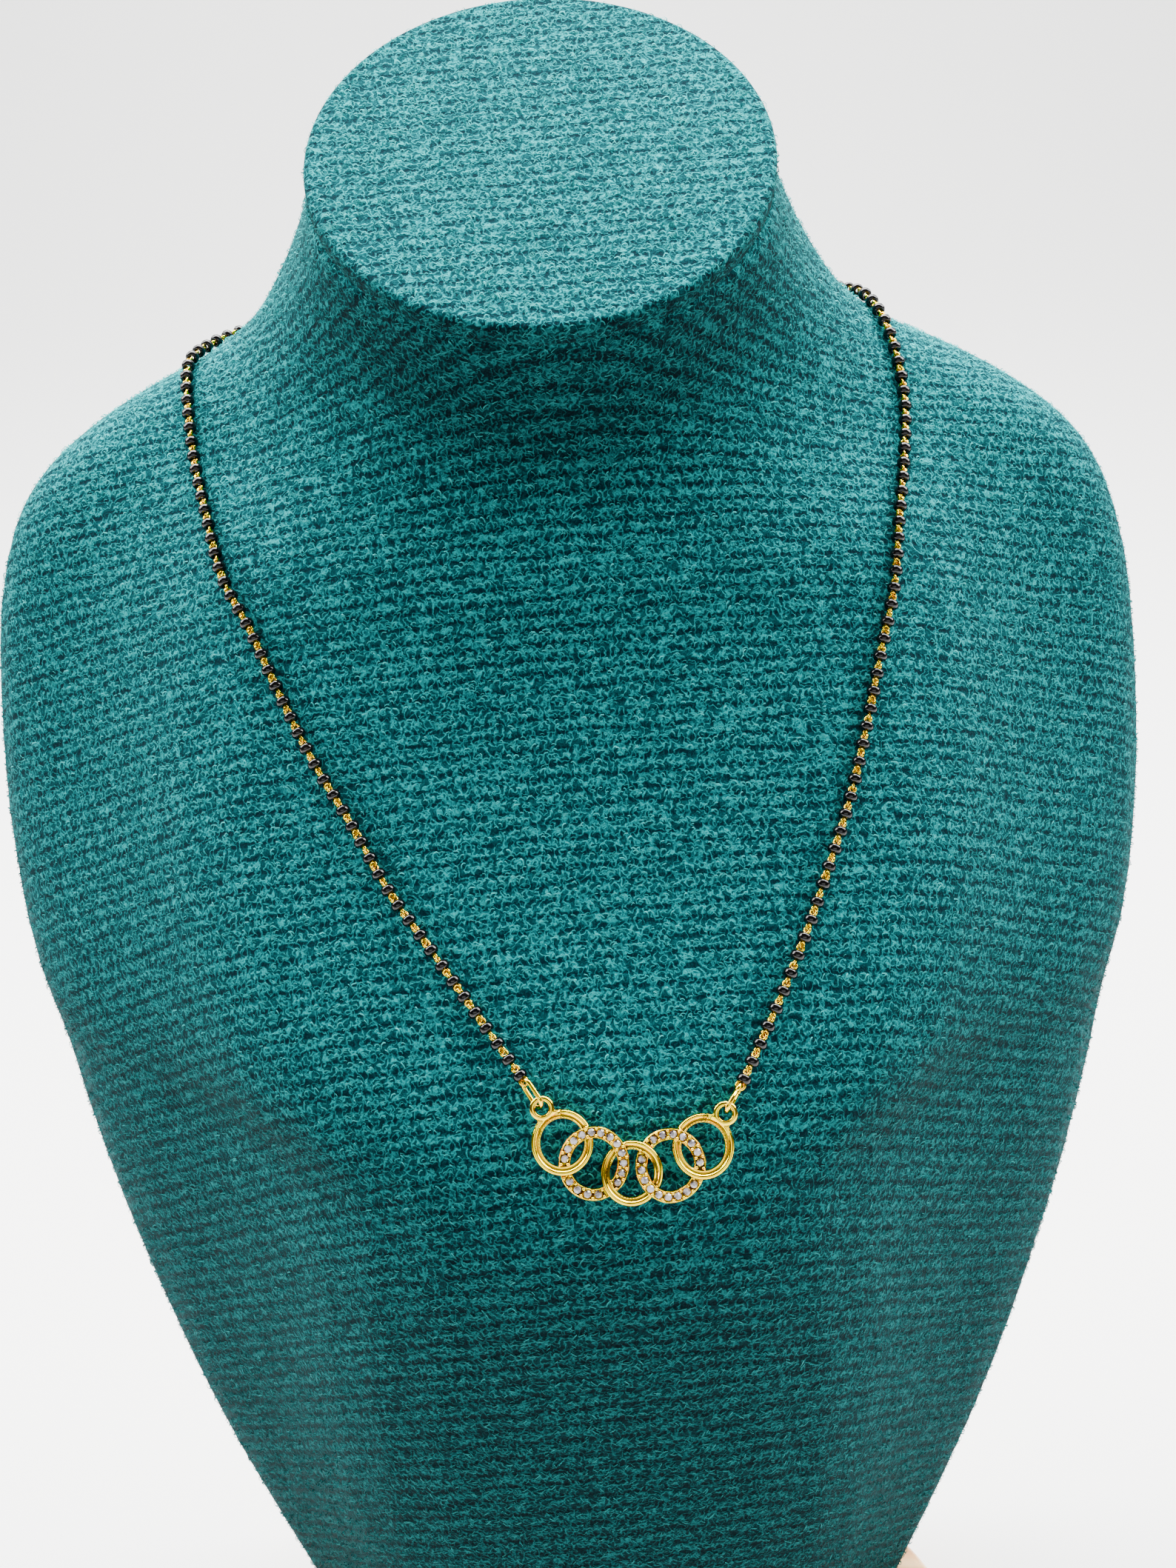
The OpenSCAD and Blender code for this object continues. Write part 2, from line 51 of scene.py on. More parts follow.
# Route of each strand from the pendant over the shoulder to the back of the neck, in millimetres
ROUTES = {
    "strand_left": [
        (-9.5, -56.5, 164.5), (-16, -50.5, 172.5), (-22.5, -44.5, 180.5), (-28, -39, 187),
        (-33.5, -32.5, 195.5), (-39, -26.5, 203.5), (-44, -19.5, 212), (-48.5, -13, 220.5),
        (-53, -6, 227), (-56, 3, 235), (-58.5, 12, 242), (-60, 20.5, 249.5), (-60.5, 29, 254.5),
        (-58, 37, 256), (-53, 44, 257), (-46, 49.5, 258.5), (-36, 54, 258.5), (-25, 54.5, 258),
        (-15.5, 54.5, 258), (-6.2, 54.5, 258),
    ],
    "strand_right": [
        (23, -56.5, 162), (28.5, -50, 170), (33.5, -44, 178.5), (38, -37.5, 187), (42, -31, 195),
        (45.5, -24, 204), (48.5, -17.5, 213), (51.5, -11, 221.5), (53.5, -3, 230.5),
        (55.5, 5.5, 237.5), (57, 14.5, 245), (56.5, 21.5, 252), (55, 27.5, 257), (53, 34.5, 259.5),
        (50, 41.5, 259.5), (45, 47.5, 260), (37.5, 53.5, 259), (27, 54.5, 258.5),
        (16.5, 54.5, 258), (6.2, 54.5, 258),
    ],
}
# Turn of each jump ring about the line that it hangs on, in degrees
JUMP_TURN = {"strand_left": 25, "strand_right": -15}
# Seed of the turns of a strand's beads
STRAND_SEED = {"strand_left": 4, "strand_right": 6}
# Radius of a bead's hole as a share of its diameter, and radius of the corners of an eight sided
# section that is 2 across its flat sides
BEAD_HOLE = 0.14
EIGHT_SIDES = 1.082
# Straight pieces of the smooth line between two points of a route
ROUTE_STEPS = 6
# Wire loop at each end of a strand in the CAD model, in millimetres: middle radius, wire, and how
# far its middle lies past the last bead's middle
LOOP_R = 0.9
LOOP_WIRE = 0.5
LOOP_OUT = LOOP_R - LOOP_WIRE / 4
# Middle and length of the clasp, and the way from its middle to the loop in its ring
CLASP_AT = Vector((0, 54.8, 258))
CLASP_L = 7
CLASP_REACH = CLASP_L / 2 + LOOP_OUT

# The pendant's width, and its stone set rings: middle as shares of that width, tilt and twist
PENDANT_W = 29.4
STONE_RINGS = {"stones_left": (-0.189, 0.043, 1, 0), "stones_right": (0.189, 0.043, 0, 1)}
RING_W = 10.2
RING_OVAL = 1.05
BAND_W = 1.68
RING_LIFT = 0.4
# Places for stones all round a ring, and the prongs' height over its middle line and distance to
# either side of it
STONES_ROUND = 18
PRONG_LIFT = 0.47
PRONG_OUT = 0.5
# Middle of a lug as shares of the pendant's width
LUG = (0.453, 0.303)
PENDANT_PLACE = (
    Matrix.Translation((6, -63.5, 151.5))
    @ Matrix.Rotation(math.radians(3), 4, "Z")
    @ Matrix.Rotation(math.radians(64), 4, "X")
    @ Matrix.Rotation(math.radians(-6), 4, "Z")
)
# Prongs closer together than this angle are one
SAME_ANGLE = 0.02
# Below these angles the edges of the cap, and of the jump rings and the clasp, are shaded smooth
CAP_SMOOTH = math.radians(50)
LINK_SMOOTH = math.radians(65)
# Vertices of a CAD node closer than this, in metres, are one
MERGE = 0.002 * MM
ROWS_ACROSS = (-0.04, 0.6, 0.8)
ROW_WANDER = 1.6 * MM
# The two layers of pile and their seeds. Cloth that faces further back or lies lower has no pile
PILE_LAYERS = (("ClothPileA", 3), ("ClothPileB", 11))
BACK_FACING = 0.93
PILE_FOOT = 16 * MM
# A pile loop's sunk ends and its curve's middle point as shares of its rise, and its least and most
# size
LOOP_SUNK = -0.25
LOOP_PEAK = 2.2
LOOP_SIZES = (0.55, 1.25)

# The lights: place, aim and size in metres, and power as a share of the soft light's
LIGHTS = (
    ("SoftLightAbove", (0, 0.36, 1.15), (0, 0, 0.2), (1.2, 0.5), 1),
    ("SoftLightLeft", (-0.55, 0.12, 0.62), (0, 0, 0.22), (0.4, 0.5), 0.3),
    ("SoftLightRight", (0.55, 0.12, 0.62), (0, 0, 0.22), (0.4, 0.5), 0.31),
    ("SoftLightFront", (0, -1.4, 0.75), (0, 0, 0.15), (1.6, 0.7), 0.17),
    ("BackdropLight", (0, 1.3, 2.3), (0, 1.9, 0.2), (1.6, 1.6), 3.8),
)
# The floor in metres: its half width, its front, its back where it bends up, the bend's radius and
# steps, and the backdrop's top
FLOOR_HALF = 4.0
FLOOR_FRONT = -3.0
FLOOR_BACK = 1.6
BEND_R = 0.8
BEND_STEPS = 12
BACKDROP_TOP = 4.0
# The camera: its place in millimetres, its look down and its roll in degrees, its focal length in
# pixels of a picture of this height, and its sensor in millimetres
CAMERA_AT = (2.5, -320, 316)
CAMERA_DOWN = 22
CAMERA_ROLL = 2.9
FOCAL_LENGTH = 2800
PICTURE_HEIGHT = 2117
SENSOR = 36


# Sizes and colours that a user would change
class ClothSettings(bpy.types.PropertyGroup):
    mesh_size: FloatProperty(
        name="Mesh size", description="Edge of the faces of the cloth covered form",
        default=1.7 * MM, min=1.0 * MM, max=5 * MM, precision=5, unit="LENGTH",
    )
    softening: IntProperty(
        name="Softening", description="Passes that round the form's ridges under the cloth",
        default=5, min=0, max=40,
    )
    cloth_thickness: FloatProperty(
        name="Cloth thickness", description="How far the cloth's ground stands off the form",
        default=0.5 * MM, min=0, max=2 * MM, precision=5, unit="LENGTH",
    )
    loops: FloatProperty(
        name="Pile loops",
        description="Raised pile loops on a square metre of cloth, in each layer",
        default=430000, min=0, max=500000,
    )
    loop_length: FloatProperty(
        name="Loop length", description="Length of one raised pile loop",
        default=1.15 * MM, min=0.3 * MM, max=4 * MM, precision=5, unit="LENGTH",
    )
    loop_width: FloatProperty(
        name="Loop width", description="Width of the yarn of one raised loop",
        default=0.17 * MM, min=0.05 * MM, max=1 * MM, precision=5, unit="LENGTH",
    )
    loop_rise: FloatProperty(
        name="Loop rise", description="Height of a pile loop above the cloth",
        default=0.36 * MM, min=0.05 * MM, max=1 * MM, precision=5, unit="LENGTH",
    )
    row_pitch: FloatProperty(
        name="Row pitch", description="Spacing of the knitted rows",
        default=2.3 * MM, min=1 * MM, max=6 * MM, precision=5, unit="LENGTH",
    )


class NecklaceSettings(bpy.types.PropertyGroup):
    bead_diameter: FloatProperty(
        name="Bead diameter", description="Across one black seed bead",
        default=2.25 * MM, min=1 * MM, max=5 * MM, precision=5, unit="LENGTH",
    )
    bead_thickness: FloatProperty(
        name="Bead thickness", description="Length of one bead along the strand",
        default=1.3 * MM, min=0.5 * MM, max=4 * MM, precision=5, unit="LENGTH",
    )
    bead_pitch: FloatProperty(
        name="Bead pitch", description="Distance from one bead's middle to the next",
        default=2.85 * MM, min=1.5 * MM, max=6 * MM, precision=5, unit="LENGTH",
    )
    eye_radius: FloatProperty(
        name="Eye radius", description="Middle radius of the wire eye at each end of a bead's link",
        default=0.48 * MM, min=0.2 * MM, max=2 * MM, precision=5, unit="LENGTH",
    )
    wire: FloatProperty(
        name="Link wire", description="Thickness of the gold wire of the links",
        default=0.44 * MM, min=0.1 * MM, max=1 * MM, precision=5, unit="LENGTH",
    )
    end_radius: FloatProperty(
        name="End loop radius", description="Middle radius of the loop at each end of a strand",
        default=0.62 * MM, min=0.3 * MM, max=2 * MM, precision=5, unit="LENGTH",
    )


class PendantSettings(bpy.types.PropertyGroup):
    prong_radius: FloatProperty(
        name="Prong radius",
        description="Radius of the small raised gold grains between the stones",
        default=0.27 * MM, min=0.05 * MM, max=0.6 * MM, precision=5, unit="LENGTH",
    )
    sharp_angle: FloatProperty(
        name="Sharp angle", description="Edges sharper than this stay crisp on the polished gold",
        default=math.radians(30), min=0, max=math.pi, unit="ROTATION",
    )


class StageSettings(bpy.types.PropertyGroup):
    floor_colour: FloatVectorProperty(
        name="Floor colour", description="Colour of the plain pale floor",
        default=(0.86, 0.86, 0.85), min=0, max=1, subtype="COLOR",
    )
    key_power: FloatProperty(
        name="Soft light", description="Power of the large soft light above the bust",
        default=46, min=0, max=500, unit="POWER",
    )
    sky: FloatProperty(
        name="Room light", description="Strength of the even light all around",
        default=0.11, min=0, max=5,
    )


# Small helpers
def linear(code):
    """Turns an sRGB hex colour into Blender's linear colour."""
    parts = [int(code[i : i + 2], 16) / 255 for i in (1, 3, 5)]
    return tuple(
        p / 12.92 if p <= 0.04045 else ((p + 0.055) / 1.055) ** 2.4 for p in parts
    ) + (1.0,)


def connect(tree, node, inputs):
    """Gives a node's inputs their values or links. A node stands for its first output."""
    for key, value in inputs.items():
        if isinstance(value, bpy.types.Node):
            value = value.outputs[0]
        if isinstance(value, bpy.types.NodeSocket):
            tree.links.new(value, node.inputs[key])
        else:
            node.inputs[key].default_value = value


def add(tree, kind, inputs=None, stops=None, **settings):
    """Adds a node with its settings, its inputs, and the stops of a colour ramp."""
    made = tree.nodes.new(kind)
    for name, value in settings.items():
        setattr(made, name, value)
    if stops:
        ramp = made.color_ramp.elements
        while len(ramp) < len(stops):
            ramp.new(0.5)
        for element, (place, colour) in zip(ramp, stops):
            element.position = place
            element.color = linear(colour)
    connect(tree, made, inputs or {})
    return made


def new_material(name, finish):
    """A material whose surface shader has the finish, and the object's coordinates for patterns."""
    material = bpy.data.materials.new(name)
    material.use_nodes = True
    tree = material.node_tree
    tree.nodes.clear()
    shader = add(tree, "ShaderNodeBsdfPrincipled", finish)
    add(tree, "ShaderNodeOutputMaterial", {"Surface": shader})
    place = add(tree, "ShaderNodeTexCoord").outputs["Object"]
    return material, tree, shader, place


def new_tree(name, sockets):
    """A Geometry Nodes tree with a geometry in and out and the named inputs."""
    tree = bpy.data.node_groups.new(name, "GeometryNodeTree")
    tree.interface.new_socket("Geometry", in_out="OUTPUT", socket_type="NodeSocketGeometry")
    tree.interface.new_socket("Geometry", in_out="INPUT", socket_type="NodeSocketGeometry")
    for label, kind in sockets:
        tree.interface.new_socket(label, in_out="INPUT", socket_type="NodeSocket" + kind)
    return tree, add(tree, "NodeGroupInput").outputs


def link_object(name, mesh):
    made = bpy.data.objects.new(name, mesh)
    bpy.context.scene.collection.objects.link(made)
    return made


def finished(source, name):
    """Makes the source's modifiers a plain mesh at the origin, and removes the source."""
    graph = bpy.context.evaluated_depsgraph_get()
    graph.update()
    mesh = bpy.data.meshes.new_from_object(source.evaluated_get(graph), depsgraph=graph)
    if not mesh.polygons:
        raise RuntimeError(f"{name} came out empty")
    mesh.name = name
    bpy.data.objects.remove(source)
    return link_object(name, mesh)


def grow(tree, mesh, name, values):
    """Runs a Geometry Nodes tree on a mesh and returns the finished piece."""
    source = link_object(name + "_source", mesh)
    modifier = source.modifiers.new("Nodes", "NODES")
    modifier.node_group = tree
    for item in tree.interface.items_tree:
        if item.in_out == "INPUT" and item.name in values:
            modifier[item.identifier] = values[item.name]
    return finished(source, name)


def merged_copy(node):
    """A copy of a CAD node's mesh with its loose triangles joined."""
    mesh = NODES[node].data.copy()
    work = bmesh.new()
    work.from_mesh(mesh)
    bmesh.ops.remove_doubles(work, verts=work.verts, dist=MERGE)
    work.to_mesh(mesh)
    work.free()
    return mesh


def dress(piece, material, slot, *nodes):
    """Gives a finished piece its material and its body, and hides the nodes it stands for. The slot
    is not used.
    """
    if material:
        piece.data.materials.clear()
        piece.data.materials.append(material)
    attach(piece, "root")
    if nodes:
        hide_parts(*nodes)
    return piece


def smooth_piece(name, node, material, slot, angle):
    """A CAD node's shape with its curved faces shaded smooth."""
    piece = link_object(name, merged_copy(node))
    piece.data.shade_smooth()
    piece.data.set_sharp_from_angle(angle=angle)
    return dress(piece, material, slot, node)


def catmull(points, steps):
    """Smooth line through the points."""
    out = []
    for i in range(len(points) - 1):
        a, b = points[max(i - 1, 0)], points[i]
        c, d = points[i + 1], points[min(i + 2, len(points) - 1)]
        for k in range(steps):
            t = k / steps
            bend, twist = 2 * a - 5 * b + 4 * c - d, 3 * b - a - 3 * c + d
            out.append(0.5 * (2 * b + (c - a) * t + bend * t * t + twist * t**3))
    return out + [points[-1]]


def wire_ring(work, place, radius, wire, around=20, sides=6):
    """Adds a round wire ring in the place's XY plane."""
    rows = []
    for i in range(around):
        a = 2 * math.pi * i / around
        row = []
        for j in range(sides):
            b = 2 * math.pi * j / sides
            r = radius + wire / 2 * math.cos(b)
            spot = Vector((r * math.cos(a), r * math.sin(a), wire / 2 * math.sin(b)))
            row.append(work.verts.new(place @ spot))
        rows.append(row)
    for i in range(around):
        for j in range(sides):
            here, there = rows[i], rows[(i + 1) % around]
            face = work.faces.new(
                (here[j], there[j], there[(j + 1) % sides], here[(j + 1) % sides])
            )
            face.smooth = True


def summed(tree, *shares):
    """Adds up patterns, each times its share."""
    total = 0.0
    for pattern, share in shares:
        total = add(
            tree, "ShaderNodeMath", {0: pattern, 1: share, 2: total}, operation="MULTIPLY_ADD"
        )
    return total


def strayed(tree, place, noise, reach):
    """The place moved by a noise's colour, up to half the reach either way."""
    stray = add(
        tree, "ShaderNodeVectorMath", {0: noise.outputs["Color"], 1: (0.5, 0.5, 0.5)},
        operation="SUBTRACT",
    )
    stray = add(tree, "ShaderNodeVectorMath", {0: stray, "Scale": reach}, operation="SCALE")
    return add(tree, "ShaderNodeVectorMath", {0: place, 1: stray}, operation="ADD")


def knit_rows(tree, place, pitch):
    """Wave across the knitted rows, 1 on a row and -1 between two. They wander over some 6 mm."""
    broad = add(tree, "ShaderNodeTexNoise", {"Vector": place, "Scale": 1 / (6 * MM), "Detail": 2.0})
    rowed = strayed(tree, place, broad, ROW_WANDER)
    height = add(
        tree, "ShaderNodeVectorMath", {0: rowed, 1: ROWS_ACROSS}, operation="DOT_PRODUCT"
    )
    rows = add(tree, "ShaderNodeMath", {0: height.outputs["Value"], 1: pitch}, operation="DIVIDE")
    turns = add(tree, "ShaderNodeMath", {0: rows, 1: 2 * math.pi}, operation="MULTIPLY")
    return add(tree, "ShaderNodeMath", {0: turns}, operation="SINE")


# Materials
def painted_facing_shade(tree, colour):
    """Painted shade: darkens a colour on cloth that faces sideways or down, and keeps it full on
    cloth that faces up, as light from above falls.
    """
    normal = add(tree, "ShaderNodeNewGeometry").outputs["Normal"]
    up = add(tree, "ShaderNodeSeparateXYZ", {0: normal})
    lit = add(
        tree, "ShaderNodeMapRange",
        {"Value": up.outputs["Z"], "From Min": -0.2, "From Max": 0.8, "To Min": 0.27,
         "To Max": 1.0},
    )
    return add(tree, "ShaderNodeVectorMath", {0: colour, "Scale": lit}, operation="SCALE")


def terry_knit(settings):
    """Teal terry knit of fine polyester yarn, its light and shade painted into its colour: pale
    curls as lit loops over a ground painted deep as shade, in rows that show as faint ribs, and the
    whole looks soft and without gloss."""
    material, tree, shader, place = new_material(
        "TealTerryKnit",
        {"Roughness": 0.95, "Specular IOR Level": 0.05, "Sheen Weight": 0.03,
         "Sheen Roughness": 0.5, "Sheen Tint": linear("#5fd0cc")},
    )
    row = knit_rows(tree, place, settings.row_pitch)
    # The yarn wanders over some 0.9 mm
    fine = add(
        tree, "ShaderNodeTexNoise", {"Vector": place, "Scale": 1 / (0.9 * MM), "Detail": 1.0}
    )
    loose = strayed(tree, place, fine, 1.3 * MM)
    # Curls of yarn, drawn 1 mm apart, a little coarser than the real ones so that they show
    curls = add(
        tree, "ShaderNodeTexNoise", {"Vector": loose, "Scale": 1 / (1.0 * MM), "Detail": 0.5}
    )
    curls = add(tree, "ShaderNodeMath", {0: curls, 1: 0.5}, operation="SUBTRACT")
    curls = add(tree, "ShaderNodeMath", {0: curls}, operation="ABSOLUTE")
    yarn = add(
        tree, "ShaderNodeMapRange",
        {"Value": curls, "From Min": 0.0, "From Max": 0.11, "To Min": 1.0, "To Max": 0.0},
    )
    # Single fibres, drawn 0.4 mm wide so that they show
    fibre = add(
        tree, "ShaderNodeTexNoise",
        {"Vector": loose, "Scale": 1 / (0.38 * MM), "Detail": 2.0, "Roughness": 0.7},
    )
    # Painted shade: dark stitches in the troughs under each row, 0.6 mm apart
    across = add(tree, "ShaderNodeSeparateXYZ", {0: loose}).outputs["X"]
    stitch = add(
        tree, "ShaderNodeMath", {0: across, 1: 2 * math.pi / (0.62 * MM)}, operation="MULTIPLY"
    )
    stitch = add(tree, "ShaderNodeMath", {0: stitch}, operation="SINE")
    stitch = add(
        tree, "ShaderNodeMapRange",
        {"Value": stitch, "From Min": -0.5, "From Max": 0.8, "To Min": 0.35, "To Max": 1.0},
    )
    under = add(
        tree, "ShaderNodeMapRange",
        {"Value": row, "From Min": -0.2, "From Max": -0.9, "To Min": 0.0, "To Max": 1.0},
    )
    stitch_shade = add(tree, "ShaderNodeMath", {0: under, 1: stitch}, operation="MULTIPLY")
    total = summed(tree, (yarn, 0.4), (fibre, 0.75), (row, 0.05), (stitch_shade, -0.12))
    # Painted light and shade: the yarn's own teal, painted near black as shade in the ground
    # between the loops and pale as lit curls and fibres, a little lighter on the rows' crests and
    # darker between them
    colour = add(
        tree, "ShaderNodeValToRGB", {"Fac": total},
        stops=[(0.24, "#001c24"), (0.42, "#003d42"), (0.6, "#04666a"), (0.86, "#1fa6a6")],
    )
    bump = add(
        tree, "ShaderNodeBump", {"Height": total, "Strength": 0.55, "Distance": 0.5 * MM}
    )
    # Painted shade: the knit's colour darkens on cloth that faces sideways or down
    connect(tree, shader, {"Base Color": painted_facing_shade(tree, colour), "Normal": bump})
    return material


def pile_yarn():
    """The same knit's raised loops: bright teal yarn, matt and a little uneven in dye."""
    material, tree, shader, place = new_material(
        "TealPileYarn",
        {"Roughness": 0.9, "Specular IOR Level": 0.05, "Sheen Weight": 0.03,
         "Sheen Tint": linear("#5fd0cc")},
    )
    dye = add(tree, "ShaderNodeTexNoise", {"Vector": place, "Scale": 1 / (1.3 * MM), "Detail": 1.0})
    colour = add(
        tree, "ShaderNodeValToRGB", {"Fac": dye}, stops=[(0.3, "#0b7b7e"), (0.7, "#3abdbb")]
    )
    # Painted shade: the loops' colour darkens on cloth that faces sideways or down
    connect(tree, shader, {"Base Color": painted_facing_shade(tree, colour)})
    return material


def satin_wood():
    """Light pine with a clear satin varnish: orange tan with darker grain lines along its length,
    fine pores, and a soft gloss from the varnish."""
    material, tree, shader, place = new_material(
        "SatinVarnishedPine", {"Coat Weight": 0.35, "Coat Roughness": 0.25}
    )
    # Grain lines some 6 mm apart, drawn out along X
    long = add(tree, "ShaderNodeMapping", {"Vector": place, "Scale": (0.06, 1.0, 1.6)})
    wander = add(
        tree, "ShaderNodeTexNoise", {"Vector": long, "Scale": 1 / (9 * MM), "Detail": 3.0}
    )
    grain = add(
        tree, "ShaderNodeTexWave",
        {"Vector": long, "Scale": 1 / (20 * MM), "Distortion": 6.0, "Detail": 2.0,
         "Detail Scale": 1.5},
        bands_direction="Y",
    )
    # Pores, drawn 0.7 mm wide so that they show
    pores = add(
        tree, "ShaderNodeTexNoise", {"Vector": long, "Scale": 1 / (0.7 * MM), "Detail": 3.0}
    )
    both = summed(tree, (grain.outputs["Fac"], 0.35), (wander, 0.45), (pores, 0.25))
    colour = add(
        tree, "ShaderNodeValToRGB", {"Fac": both},
        stops=[(0.25, "#b97a3d"), (0.5, "#d99f5c"), (0.75, "#efc286")],
    )
    gloss = add(tree, "ShaderNodeMapRange", {"Value": pores, "To Min": 0.38, "To Max": 0.55})
    bump = add(
        tree, "ShaderNodeBump", {"Height": both, "Strength": 0.25, "Distance": 0.15 * MM}
    )
    connect(tree, shader, {"Base Color": colour, "Roughness": gloss, "Normal": bump})
    return material


def beige_board():
    """Plain grey beige paper board: matt, with short fibres pressed into its face."""
    material, tree, shader, place = new_material("BeigePaperBoard", {"Roughness": 0.85})
    # Fibres 0.9 mm long in clouds of 18 mm
    fibre = add(
        tree, "ShaderNodeTexNoise",
        {"Vector": place, "Scale": 1 / (0.9 * MM), "Detail": 3.0, "Distortion": 1.2},
    )
    cloud = add(
        tree, "ShaderNodeTexNoise", {"Vector": place, "Scale": 1 / (18 * MM), "Detail": 2.0}
    )
    both = summed(tree, (cloud, 0.5), (fibre, 0.5))
    colour = add(
        tree, "ShaderNodeValToRGB", {"Fac": both}, stops=[(0.3, "#bfa888"), (0.7, "#dccbb0")]
    )
    bump = add(
        tree, "ShaderNodeBump", {"Height": fibre, "Strength": 0.2, "Distance": 0.1 * MM}
    )
    connect(tree, shader, {"Base Color": colour, "Normal": bump})
    return material


def black_glass():
    """Black pressed glass, fire polished: a wet looking gloss with small sharp highlights."""
    material, tree, shader, place = new_material(
        "BlackPressedGlass", {"IOR": 1.52, "Specular IOR Level": 0.35}
    )
    # Faint difference from bead to bead
    cloud = add(
        tree, "ShaderNodeTexNoise", {"Vector": place, "Scale": 1 / (2.4 * MM), "Detail": 1.0}
    )
    colour = add(
        tree, "ShaderNodeValToRGB", {"Fac": cloud}, stops=[(0.35, "#020203"), (0.7, "#0a0706")]
    )
    gloss = add(tree, "ShaderNodeMapRange", {"Value": cloud, "To Min": 0.04, "To Max": 0.1})
    connect(tree, shader, {"Base Color": colour, "Roughness": gloss})
    return material


def polished_gold(name, low, high, soft):
    """Gold, cast and polished: a rich yellow mirror with shade painted darker into its hollows,
    whose reflections break up a little where the casting ripples."""
    material, tree, shader, place = new_material(
        name, {"Metallic": 1.0, "Specular Tint": linear("#ffdc6a")}
    )
    tone = add(
        tree, "ShaderNodeTexNoise", {"Vector": place, "Scale": 1 / (1.6 * MM), "Detail": 2.0}
    )
    colour = add(tree, "ShaderNodeValToRGB", {"Fac": tone}, stops=[(0.3, low), (0.7, high)])
    # Painted shade: the colour darkens where the surface bends inwards, in grooves and at joints
    bend = add(tree, "ShaderNodeNewGeometry").outputs["Pointiness"]
    hollow_shade = add(
        tree, "ShaderNodeMapRange",
        {"Value": bend, "From Min": 0.44, "From Max": 0.5, "To Min": 0.3, "To Max": 1.0},
    )
    shaded_gold = add(tree, "ShaderNodeVectorMath", {0: colour, "Scale": hollow_shade}, operation="SCALE")
    gloss = add(tree, "ShaderNodeMapRange", {"Value": tone, "To Min": soft, "To Max": soft + 0.1})
    # Ripples of 0.5 mm
    ripple = add(
        tree, "ShaderNodeTexNoise", {"Vector": place, "Scale": 1 / (0.5 * MM), "Detail": 1.0}
    )
    bump = add(
        tree, "ShaderNodeBump", {"Height": ripple, "Strength": 0.1, "Distance": 0.04 * MM}
    )
    connect(tree, shader, {"Base Color": shaded_gold, "Roughness": gloss, "Normal": bump})
    return material


def clear_stone():
    """Cubic zirconia, machine cut: clear, with a strong reflection on each facet, and light and
    dark reflections painted into its colour by turns."""
    material, tree, shader, place = new_material(
        "CutCubicZirconia", {"IOR": 2.15, "Roughness": 0.02, "Transmission Weight": 0.6}
    )
    # Painted reflections: light and dark areas of a facet's size, 0.8 mm
    tone = add(
        tree, "ShaderNodeTexNoise", {"Vector": place, "Scale": 1 / (0.8 * MM), "Detail": 0.0}
    )
    colour = add(
        tree, "ShaderNodeValToRGB", {"Fac": tone}, stops=[(0.38, "#5c4a54"), (0.62, "#fff6fa")]
    )
    connect(tree, shader, {"Base Color": colour})
    return material


def pale_floor(colour):
    """Smooth pale laminate: matt and plain."""
    return new_material("PaleLaminate", {"Base Color": (*colour, 1), "Roughness": 0.7})[0]


